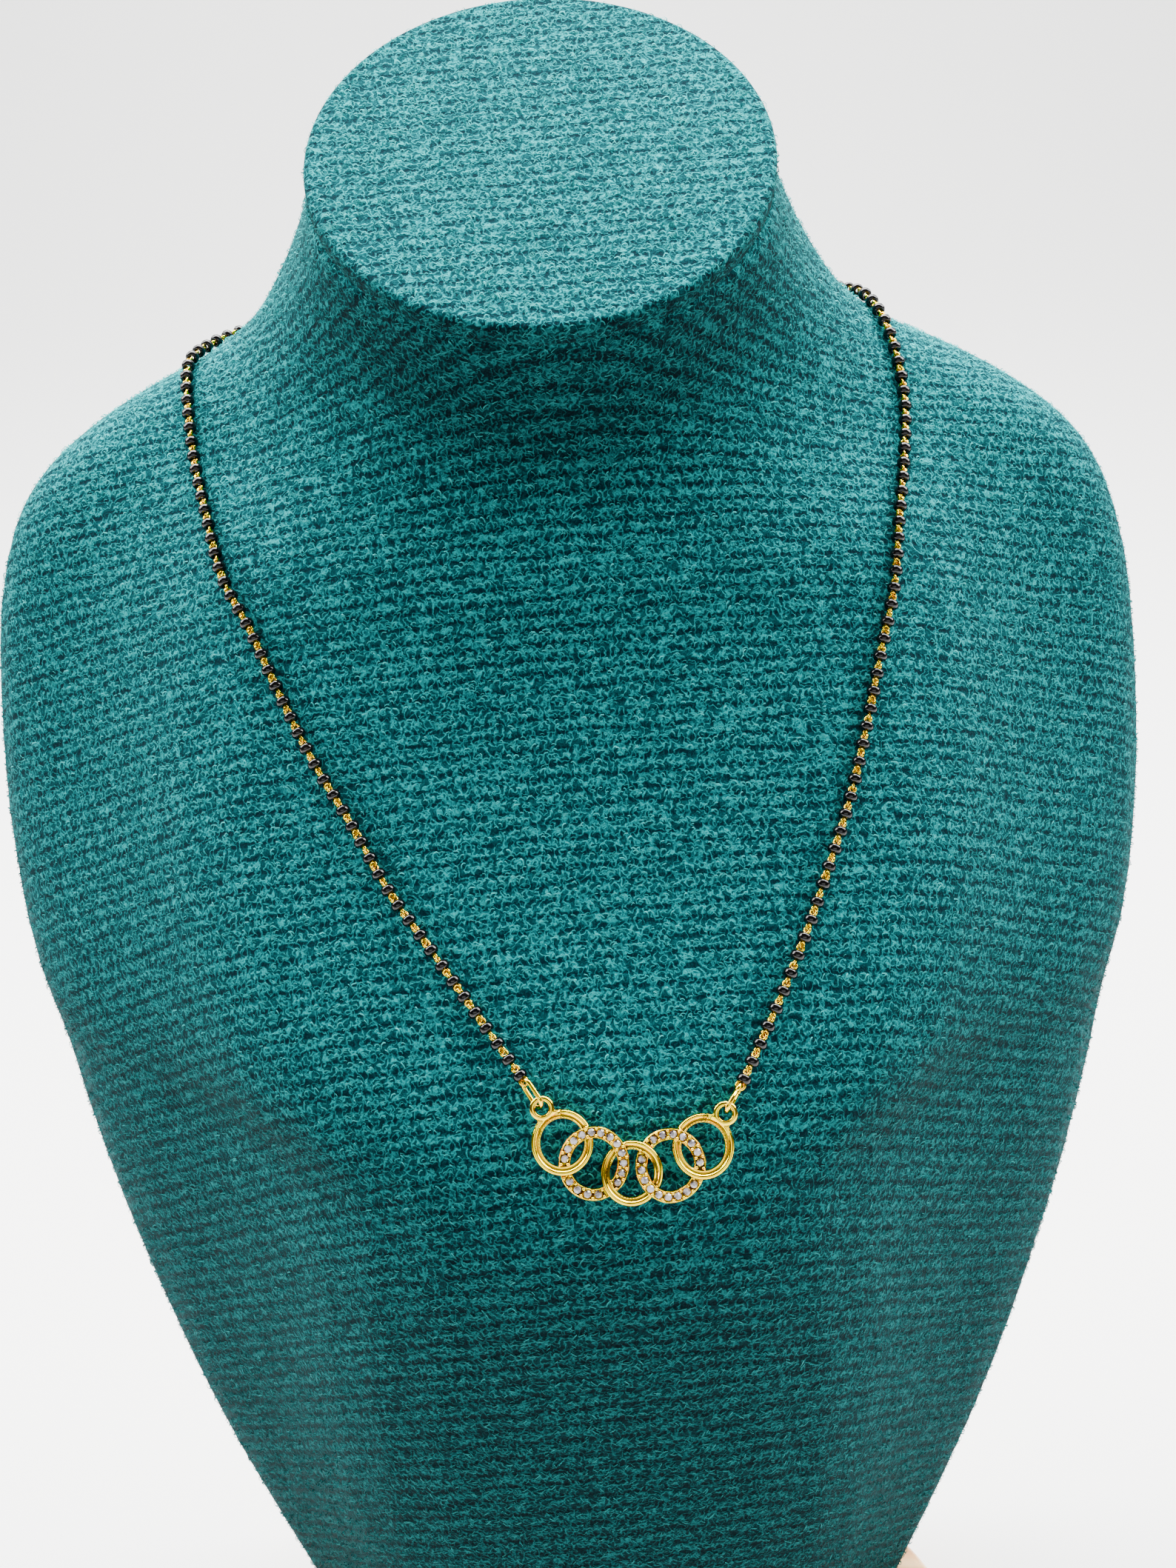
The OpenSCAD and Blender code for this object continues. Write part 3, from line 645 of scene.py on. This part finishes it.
# Geometry Nodes trees
def pile_tree():
    """Loops of yarn scattered on the cloth, lying roughly along its rows."""
    tree, given = new_tree(
        "PileLoops",
        [("Density", "Float"), ("Length", "Float"), ("Width", "Float"), ("Rise", "Float"),
         ("Row Pitch", "Float"), ("Seed", "Int"), ("Yarn", "Material")],
    )
    # No loops on the flat back under the board, nor on the lowest edge by the base
    normal = add(tree, "GeometryNodeInputNormal")
    way = add(tree, "ShaderNodeSeparateXYZ", {0: normal})
    outside = add(
        tree, "FunctionNodeCompare", {"A": way.outputs["Y"], "B": BACK_FACING},
        data_type="FLOAT", operation="LESS_THAN",
    )
    place = add(tree, "GeometryNodeInputPosition")
    high = add(tree, "ShaderNodeSeparateXYZ", {0: place})
    above = add(
        tree, "FunctionNodeCompare", {"A": high.outputs["Z"], "B": PILE_FOOT},
        data_type="FLOAT", operation="GREATER_THAN",
    )
    both = add(tree, "FunctionNodeBooleanMath", {0: outside, 1: above}, operation="AND")
    points = add(
        tree, "GeometryNodeDistributePointsOnFaces",
        {"Mesh": given["Geometry"], "Selection": both, "Density": given["Density"],
         "Seed": given["Seed"]},
    )
    # Few loops stand between two rows, and those are small
    row = knit_rows(tree, place.outputs[0], given["Row Pitch"])
    share = add(
        tree, "ShaderNodeMapRange",
        {"Value": row, "From Min": -0.95, "From Max": 0.1, "To Min": 0.3, "To Max": 1.0},
    )
    chance = add(tree, "FunctionNodeRandomValue", {"Seed": given["Seed"]}, data_type="FLOAT")
    gone = add(
        tree, "FunctionNodeCompare", {"A": chance.outputs[1], "B": share}, data_type="FLOAT",
        operation="GREATER_THAN",
    )
    standing = add(
        tree, "GeometryNodeDeleteGeometry",
        {"Geometry": points.outputs["Points"], "Selection": gone}, domain="POINT",
    )
    # A loop is a flat ribbon on an arch whose ends are sunk into the cloth
    half = add(tree, "ShaderNodeMath", {0: given["Length"], 1: 0.5}, operation="MULTIPLY")
    back = add(tree, "ShaderNodeMath", {0: given["Length"], 1: -0.5}, operation="MULTIPLY")
    sunk = add(tree, "ShaderNodeMath", {0: given["Rise"], 1: LOOP_SUNK}, operation="MULTIPLY")
    tall = add(tree, "ShaderNodeMath", {0: given["Rise"], 1: LOOP_PEAK}, operation="MULTIPLY")
    start = add(tree, "ShaderNodeCombineXYZ", {"X": back, "Z": sunk})
    middle = add(tree, "ShaderNodeCombineXYZ", {"Y": half, "Z": tall})
    end = add(tree, "ShaderNodeCombineXYZ", {"X": half, "Z": sunk})
    arch = add(
        tree, "GeometryNodeCurveQuadraticBezier",
        {"Resolution": 3, "Start": start, "Middle": middle, "End": end},
    )
    side = add(tree, "ShaderNodeMath", {0: given["Width"], 1: 0.5}, operation="MULTIPLY")
    other = add(tree, "ShaderNodeMath", {0: given["Width"], 1: -0.5}, operation="MULTIPLY")
    left = add(tree, "ShaderNodeCombineXYZ", {"X": side})
    right = add(tree, "ShaderNodeCombineXYZ", {"X": other})
    flat = add(tree, "GeometryNodeCurvePrimitiveLine", {"Start": left, "End": right})
    ribbon = add(tree, "GeometryNodeCurveToMesh", {"Curve": arch, "Profile Curve": flat})
    turn = add(
        tree, "FunctionNodeAlignRotationToVector",
        {"Rotation": points.outputs["Rotation"], "Vector": (1, 0, 0)}, axis="X", pivot_axis="Z",
    )
    roll = add(
        tree, "FunctionNodeRandomValue",
        {"Min": (-0.3, -0.3, -0.95), "Max": (0.3, 0.3, 0.95), "Seed": given["Seed"]},
        data_type="FLOAT_VECTOR",
    )
    twist = add(tree, "FunctionNodeEulerToRotation", {0: roll.outputs["Value"]})
    laid = add(
        tree, "FunctionNodeRotateRotation", {"Rotation": turn, "Rotate By": twist},
        rotation_space="LOCAL",
    )
    # Inputs 2 and 3 are the least and most of a plain number
    size = add(
        tree, "FunctionNodeRandomValue",
        {2: LOOP_SIZES[0], 3: LOOP_SIZES[1], "Seed": given["Seed"]}, data_type="FLOAT",
    )
    loops = add(
        tree, "GeometryNodeInstanceOnPoints",
        {"Points": standing, "Instance": ribbon, "Rotation": laid, "Scale": size.outputs[1]},
    )
    real = add(tree, "GeometryNodeRealizeInstances", {0: loops})
    smooth = add(tree, "GeometryNodeSetShadeSmooth", {0: real})
    done = add(tree, "GeometryNodeSetMaterial", {"Geometry": smooth, "Material": given["Yarn"]})
    add(tree, "NodeGroupOutput", {0: done})
    return tree


def strand_tree():
    """Beads along the strand's path, each on a wire whose two eyes hold the next ones' eyes."""
    tree, given = new_tree(
        "BeadStrand",
        [("Count", "Int"), ("Pitch", "Float"), ("Diameter", "Float"), ("Thickness", "Float"),
         ("Eye", "Float"), ("Wire", "Float"), ("Seed", "Int"), ("Glass", "Material"),
         ("Gold", "Material")],
    )
    path = add(tree, "GeometryNodeMeshToCurve", {0: given["Geometry"]})
    points = add(
        tree, "GeometryNodeCurveToPoints", {"Curve": path, "Count": given["Count"]}, mode="COUNT"
    )
    roll = add(
        tree, "FunctionNodeRandomValue",
        {"Min": (0, 0, -0.5), "Max": (0, 0, 0.5), "Seed": given["Seed"]}, data_type="FLOAT_VECTOR",
    )
    twist = add(tree, "FunctionNodeEulerToRotation", {0: roll.outputs["Value"]})
    laid = add(
        tree, "FunctionNodeRotateRotation",
        {"Rotation": points.outputs["Rotation"], "Rotate By": twist}, rotation_space="LOCAL",
    )
    # Bead: eight points as a section with flat sides and round corners, swept about its hole
    hole = add(tree, "ShaderNodeMath", {0: given["Diameter"], 1: BEAD_HOLE}, operation="MULTIPLY")
    outer = add(tree, "ShaderNodeMath", {0: given["Diameter"], 1: 0.5}, operation="MULTIPLY")
    middle = add(tree, "ShaderNodeMath", {0: hole, 1: outer}, operation="ADD")
    middle = add(tree, "ShaderNodeMath", {0: middle, 1: 0.5}, operation="MULTIPLY")
    fat = add(tree, "ShaderNodeMath", {0: outer, 1: middle}, operation="SUBTRACT")
    long = add(tree, "ShaderNodeMath", {0: given["Thickness"], 1: 0.5}, operation="MULTIPLY")
    ring = add(tree, "GeometryNodeCurvePrimitiveCircle", {"Resolution": 14, "Radius": middle})
    section = add(
        tree, "GeometryNodeCurvePrimitiveCircle", {"Resolution": 8, "Radius": EIGHT_SIDES}
    )
    section = add(
        tree, "GeometryNodeTransform", {"Geometry": section, "Rotation": (0, 0, math.pi / 8)}
    )
    stretch = add(tree, "ShaderNodeCombineXYZ", {"X": fat, "Y": long, "Z": 1.0})
    section = add(tree, "GeometryNodeTransform", {"Geometry": section, "Scale": stretch})
    bead = add(tree, "GeometryNodeCurveToMesh", {"Curve": ring, "Profile Curve": section})
    beads = add(
        tree, "GeometryNodeInstanceOnPoints",
        {"Points": points.outputs["Points"], "Instance": bead, "Rotation": laid},
    )
    beads = add(tree, "GeometryNodeRealizeInstances", {0: beads})
    beads = add(tree, "GeometryNodeSetShadeSmooth", {0: beads})
    beads = add(tree, "GeometryNodeSetMaterial", {"Geometry": beads, "Material": given["Glass"]})
    # Eyes: the far wire of one lies inside the next one's hole
    round_wire = add(tree, "ShaderNodeMath", {0: given["Wire"], 1: 0.5}, operation="MULTIPLY")
    eye = add(tree, "GeometryNodeCurvePrimitiveCircle", {"Resolution": 12, "Radius": given["Eye"]})
    cross = add(tree, "GeometryNodeCurvePrimitiveCircle", {"Resolution": 5, "Radius": round_wire})
    eye = add(tree, "GeometryNodeCurveToMesh", {"Curve": eye, "Profile Curve": cross})
    far = add(tree, "ShaderNodeMath", {0: given["Pitch"], 1: given["Wire"]}, operation="ADD")
    far = add(tree, "ShaderNodeMath", {0: far, 1: 0.5}, operation="MULTIPLY")
    far = add(tree, "ShaderNodeMath", {0: far, 1: given["Eye"]}, operation="SUBTRACT")
    near = add(tree, "ShaderNodeMath", {0: far, 1: -1.0}, operation="MULTIPLY")
    ahead = add(tree, "ShaderNodeCombineXYZ", {"Z": far})
    behind = add(tree, "ShaderNodeCombineXYZ", {"Z": near})
    # The last bead has no eye ahead of it and the first has none behind
    index = add(tree, "GeometryNodeInputIndex")
    last = add(tree, "ShaderNodeMath", {0: given["Count"], 1: 1.5}, operation="SUBTRACT")
    eyes = []
    for shift, turn, sense, limit in (
        (ahead, (math.pi / 2, 0, 0), "LESS_THAN", last.outputs[0]),
        (behind, (0, math.pi / 2, 0), "GREATER_THAN", 0.5),
    ):
        put = add(
            tree, "GeometryNodeTransform", {"Geometry": eye, "Translation": shift, "Rotation": turn}
        )
        chosen = add(
            tree, "FunctionNodeCompare", {"A": index, "B": limit}, data_type="FLOAT",
            operation=sense,
        )
        held = add(
            tree, "GeometryNodeInstanceOnPoints",
            {"Points": points.outputs["Points"], "Selection": chosen, "Instance": put,
             "Rotation": laid},
        )
        eyes.append(held.outputs[0])
    links = add(tree, "GeometryNodeJoinGeometry")
    for one in eyes:
        tree.links.new(one, links.inputs[0])
    links = add(tree, "GeometryNodeRealizeInstances", {0: links})
    links = add(tree, "GeometryNodeSetShadeSmooth", {0: links})
    links = add(tree, "GeometryNodeSetMaterial", {"Geometry": links, "Material": given["Gold"]})
    whole = add(tree, "GeometryNodeJoinGeometry")
    tree.links.new(beads.outputs[0], whole.inputs[0])
    tree.links.new(links.outputs[0], whole.inputs[0])
    add(tree, "NodeGroupOutput", {0: whole})
    return tree


def prong_tree():
    """A small round grain of gold at each point."""
    tree, given = new_tree(
        "PaveProngs", [("Radius", "Float"), ("Turn", "Rotation"), ("Gold", "Material")]
    )
    grain = add(
        tree, "GeometryNodeMeshUVSphere", {"Segments": 9, "Rings": 6, "Radius": given["Radius"]}
    )
    put = add(
        tree, "GeometryNodeInstanceOnPoints",
        {"Points": given["Geometry"], "Instance": grain, "Rotation": given["Turn"]},
    )
    real = add(tree, "GeometryNodeRealizeInstances", {0: put})
    smooth = add(tree, "GeometryNodeSetShadeSmooth", {0: real})
    done = add(tree, "GeometryNodeSetMaterial", {"Geometry": smooth, "Material": given["Gold"]})
    add(tree, "NodeGroupOutput", {0: done})
    return tree


# Pieces
class MANGALSUTRA_OT_cloth(bpy.types.Operator):
    """Cover the neck bust and its cap with teal terry knit"""

    bl_idname = "mangalsutra.cloth"
    bl_label = "Cloth covered bust and cap"

    def execute(self, context):
        settings = context.scene.mangalsutra_cloth
        knit = terry_knit(settings)
        source = link_object("form_source", merged_copy("neck_bust"))
        remesh = source.modifiers.new("Remesh", "REMESH")
        remesh.mode = "VOXEL"
        remesh.voxel_size = settings.mesh_size * 1
        soften = source.modifiers.new("Soften", "SMOOTH")
        soften.factor = 0.5
        soften.iterations = settings.softening
        thicken = source.modifiers.new("Thicken", "DISPLACE")
        thicken.mid_level = 0
        thicken.strength = settings.cloth_thickness
        form = finished(source, "BustCloth")
        form.data.shade_smooth()
        dress(form, knit, "teal_cloth", "neck_bust")
        cap = smooth_piece("CapCloth", "neck_cap", knit, "teal_cloth", CAP_SMOOTH)
        yarn = pile_yarn()
        tree = pile_tree()
        work = bmesh.new()
        work.from_mesh(form.data)
        work.from_mesh(cap.data)
        for layer, seed in PILE_LAYERS:
            mesh = bpy.data.meshes.new(layer)
            work.to_mesh(mesh)
            mesh.materials.clear()
            pile = grow(
                tree, mesh, layer,
                {"Density": settings.loops / 1,
                 "Length": settings.loop_length, "Width": settings.loop_width,
                 "Rise": settings.loop_rise, "Row Pitch": settings.row_pitch, "Seed": seed,
                 "Yarn": yarn},
            )
            dress(pile, yarn, "teal_cloth")
            print(layer, len(pile.data.polygons) * 2, "triangles")
        work.free()
        return {"FINISHED"}


class MANGALSUTRA_OT_base(bpy.types.Operator):
    """Finish the wooden base and the board on the flat back"""

    bl_idname = "mangalsutra.base"
    bl_label = "Wooden base and back board"

    def execute(self, context):
        for node, material in (("wooden_base", satin_wood()), ("back_board", beige_board())):
            for slot in NODES[node].material_slots:
                slot.material = material
        return {"FINISHED"}


def loop_places(node, points, radius):
    """Where a strand's two end loops lie. Their far wire stays where the jump ring and the clasp
    hold it."""
    side = -1 if node == "strand_left" else 1
    out = PENDANT_PLACE.to_3x3() @ Vector((0, 0, 1))
    lug = PENDANT_PLACE @ Vector((side * LUG[0] * PENDANT_W, LUG[1] * PENDANT_W, 0))
    far = LOOP_OUT + LOOP_R - radius / MM
    pull = (lug - points[0]).normalized()
    hang = (points[0] + pull * LOOP_OUT - lug).normalized()
    across = hang.cross(out).cross(hang).normalized()
    across = Matrix.Rotation(math.radians(JUMP_TURN[node]), 3, hang) @ across
    front = Matrix((pull, across.cross(pull), across)).transposed().to_4x4()
    front.translation = (points[0] + pull * far) * MM
    reach = (CLASP_AT + Vector((side * CLASP_REACH, 0, 0)) - points[-1]).normalized()
    back = Matrix.Rotation(math.pi / 2, 4, "X")
    back.translation = (points[-1] + reach * far) * MM
    return front, back


class MANGALSUTRA_OT_strands(bpy.types.Operator):
    """String the black beads on gold links along both strands, with a loop at each end"""

    bl_idname = "mangalsutra.strands"
    bl_label = "Bead strands"

    def execute(self, context):
        settings = context.scene.mangalsutra_necklace
        glass = black_glass()
        gold = polished_gold("LinkGold", "#fcc400", "#ffe400", 0.1)
        tree = strand_tree()
        for node, route in ROUTES.items():
            points = catmull([Vector(p) for p in route], ROUTE_STEPS)
            length = sum((b - a).length for a, b in zip(points, points[1:])) * MM
            count = round(length / settings.bead_pitch) + 1
            path = bpy.data.meshes.new(node + "_path")
            path.from_pydata(
                [p * MM for p in points], [(i, i + 1) for i in range(len(points) - 1)], []
            )
            strand = grow(
                tree, path, "BeadStrand" + ("Left" if node == "strand_left" else "Right"),
                {"Count": count, "Pitch": length / (count - 1), "Diameter": settings.bead_diameter,
                 "Thickness": settings.bead_thickness, "Eye": settings.eye_radius,
                 "Wire": settings.wire, "Seed": STRAND_SEED[node], "Glass": glass, "Gold": gold},
            )
            work = bmesh.new()
            work.from_mesh(strand.data)
            before = len(work.faces)
            for place in loop_places(node, points, settings.end_radius):
                wire_ring(work, place, settings.end_radius, settings.wire)
            golden = next(i for i, m in enumerate(strand.data.materials) if m == gold)
            for face in list(work.faces)[before:]:
                face.material_index = golden
            work.to_mesh(strand.data)
            work.free()
            dress(strand, None, "black_glass_beads", node)
            print(strand.name, count, "beads")
        return {"FINISHED"}


class MANGALSUTRA_OT_links(bpy.types.Operator):
    """Finish the jump rings and the clasp in polished gold"""

    bl_idname = "mangalsutra.links"
    bl_label = "Jump rings and clasp"

    def execute(self, context):
        gold = polished_gold("JumpRingGold", "#fcc600", "#ffe600", 0.08)
        for name, node in (
            ("JumpRingLeft", "jump_ring_left"),
            ("JumpRingRight", "jump_ring_right"),
            ("BarrelClasp", "clasp"),
        ):
            smooth_piece(name, node, gold, "gold", LINK_SMOOTH)
        return {"FINISHED"}


def prong_angles(stones):
    """Angles of the prongs: between two stones, and past the last stone of each run."""
    step = 2 * math.pi / STONES_ROUND
    places = set()
    for i, a in enumerate(stones):
        for way in (-1, 1):
            gap = stones[(i + way) % len(stones)] - a
            gap = math.atan2(math.sin(gap), math.cos(gap))
            places.add(round(a + (gap if abs(gap) < 1.5 * step else way * step) / 2, 4))
    kept = []
    for a in sorted(math.atan2(math.sin(a), math.cos(a)) for a in places):
        if not kept or a - kept[-1] > SAME_ANGLE:
            kept.append(a)
    return kept


def stone_middles(node):
    """The middle of each stone of a CAD node, in millimetres."""
    work = bmesh.new()
    work.from_mesh(NODES[node].data)
    bmesh.ops.remove_doubles(work, verts=work.verts, dist=MERGE)
    seen, middles = set(), []
    for vert in work.verts:
        if vert in seen:
            continue
        group, todo = [], [vert]
        seen.add(vert)
        while todo:
            here = todo.pop()
            group.append(here.co.copy())
            for edge in here.link_edges:
                there = edge.other_vert(here)
                if there not in seen:
                    seen.add(there)
                    todo.append(there)
        middles.append(sum(group, Vector()) / len(group) / MM)
    work.free()
    return middles


class MANGALSUTRA_OT_pendant(bpy.types.Operator):
    """Finish the pendant's rings and lugs in polished gold and set its stones with prongs"""

    bl_idname = "mangalsutra.pendant"
    bl_label = "Pendant, prongs and stones"

    def execute(self, context):
        settings = context.scene.mangalsutra_pendant
        gold = polished_gold("PendantGold", "#fcc800", "#ffe800", 0.07)
        smooth_piece("PendantFrame", "pendant_frame", gold, "gold", settings.sharp_angle)
        stone = clear_stone()
        into = PENDANT_PLACE.inverted()
        spots = []
        for node, (x, y, tilt, twist) in STONE_RINGS.items():
            for slot in NODES[node].material_slots:
                slot.material = stone
            rx = (RING_W - BAND_W) / 2
            ry = (RING_W * RING_OVAL - BAND_W) / 2
            cx, cy = x * PENDANT_W, y * PENDANT_W
            stones = [into @ middle for middle in stone_middles(node)]
            angles = sorted(math.atan2((p.y - cy) / ry, (p.x - cx) / rx) for p in stones)
            for a in prong_angles(angles):
                lift = RING_LIFT * (tilt * math.sin(a) + twist * math.sin(2 * a)) + PRONG_LIFT
                for out in (-PRONG_OUT, PRONG_OUT):
                    spot = Vector(
                        (cx + (rx + out) * math.cos(a), cy + (ry + out) * math.sin(a), lift)
                    )
                    spots.append(PENDANT_PLACE @ spot * MM)
        points = bpy.data.meshes.new("prong_points")
        points.from_pydata(spots, [], [])
        turn = tuple(PENDANT_PLACE.to_euler())
        prongs = grow(
            prong_tree(), points, "PaveProngs",
            {"Radius": settings.prong_radius, "Turn": turn, "Gold": gold},
        )
        dress(prongs, gold, "gold")
        print("prongs", len(spots))
        return {"FINISHED"}


class MANGALSUTRA_OT_stage(bpy.types.Operator):
    """Add the pale floor, the soft studio light and the camera"""

    bl_idname = "mangalsutra.stage"
    bl_label = "Floor, light and camera"

    def execute(self, context):
        settings = context.scene.mangalsutra_stage
        # Floor that rises into a backdrop far behind
        bend = [i * math.pi / 2 / BEND_STEPS for i in range(1, BEND_STEPS + 1)]
        profile = [(FLOOR_FRONT, 0.0), (FLOOR_BACK, 0.0)]
        profile += [
            (FLOOR_BACK + BEND_R * math.sin(a), BEND_R - BEND_R * math.cos(a)) for a in bend
        ]
        profile += [(FLOOR_BACK + BEND_R, BACKDROP_TOP)]
        verts = [(x, y, z) for y, z in profile for x in (-FLOOR_HALF, FLOOR_HALF)]
        faces = [(2 * i, 2 * i + 1, 2 * i + 3, 2 * i + 2) for i in range(len(profile) - 1)]
        mesh = bpy.data.meshes.new("Floor")
        mesh.from_pydata(verts, [], faces)
        mesh.materials.append(pale_floor(settings.floor_colour))
        mesh.shade_smooth()
        link_object("Floor", mesh)
        for name, place, aim, size, share in LIGHTS:
            light = bpy.data.lights.new(name, "AREA")
            light.shape = "RECTANGLE"
            light.size, light.size_y = size
            light.energy = settings.key_power * share
            lamp = bpy.data.objects.new(name, light)
            lamp.location = place
            lamp.rotation_euler = (Vector(aim) - Vector(place)).to_track_quat("-Z", "Y").to_euler()
            lamp.visible_camera = False
            context.scene.collection.objects.link(lamp)
        world = bpy.data.worlds.new("Room")
        world.use_nodes = True
        sky = world.node_tree.nodes["Background"]
        sky.inputs["Color"].default_value = (0.97, 0.98, 1.0, 1)
        sky.inputs["Strength"].default_value = settings.sky
        context.scene.world = world
        # The camera looks down and is rolled, as the picture was taken
        down, roll = math.radians(CAMERA_DOWN), math.radians(CAMERA_ROLL)
        ahead = Vector((0, math.cos(down), -math.sin(down)))
        right = Vector((1, 0, 0))
        low = -Vector((0, math.sin(down), math.cos(down)))
        across = right * math.cos(roll) + low * math.sin(roll)
        along = low * math.cos(roll) - right * math.sin(roll)
        data = bpy.data.cameras.new("Camera")
        data.sensor_width = SENSOR
        data.sensor_fit = "AUTO"
        data.lens = FOCAL_LENGTH * SENSOR / PICTURE_HEIGHT
        data.clip_start = 0.01
        camera = bpy.data.objects.new("Camera", data)
        camera.matrix_world = (
            Matrix.Translation([c * MM for c in CAMERA_AT])
            @ Matrix((across, -along, -ahead)).transposed().to_4x4()
        )
        context.scene.collection.objects.link(camera)
        context.scene.camera = camera
        return {"FINISHED"}


class MANGALSUTRA_PT_panel(bpy.types.Panel):
    bl_label = "Mangalsutra"
    bl_idname = "MANGALSUTRA_PT_panel"
    bl_space_type = "VIEW_3D"
    bl_region_type = "UI"
    bl_category = "Mangalsutra"

    def draw(self, context):
        for name, group in GROUPS.items():
            box = self.layout.box()
            box.label(text=name.split("_")[1].title())
            for field in group.__annotations__:
                box.prop(getattr(context.scene, name), field)
        for operator in OPERATORS:
            self.layout.operator(operator.bl_idname)


OPERATORS = (
    MANGALSUTRA_OT_cloth,
    MANGALSUTRA_OT_base,
    MANGALSUTRA_OT_strands,
    MANGALSUTRA_OT_links,
    MANGALSUTRA_OT_pendant,
    MANGALSUTRA_OT_stage,
)
GROUPS = {
    "mangalsutra_cloth": ClothSettings,
    "mangalsutra_necklace": NecklaceSettings,
    "mangalsutra_pendant": PendantSettings,
    "mangalsutra_stage": StageSettings,
}


def register():
    for kind in (*GROUPS.values(), *OPERATORS, MANGALSUTRA_PT_panel):
        bpy.utils.register_class(kind)
    for name, group in GROUPS.items():
        setattr(bpy.types.Scene, name, PointerProperty(type=group))


def unregister():
    for name in GROUPS:
        delattr(bpy.types.Scene, name)
    for kind in reversed((*GROUPS.values(), *OPERATORS, MANGALSUTRA_PT_panel)):
        bpy.utils.unregister_class(kind)


def main():
    register()
    bpy.ops.mangalsutra.cloth()
    bpy.ops.mangalsutra.base()
    bpy.ops.mangalsutra.strands()
    bpy.ops.mangalsutra.links()
    bpy.ops.mangalsutra.pendant()
    bpy.ops.mangalsutra.stage()


if __name__ == "__main__":
    main()
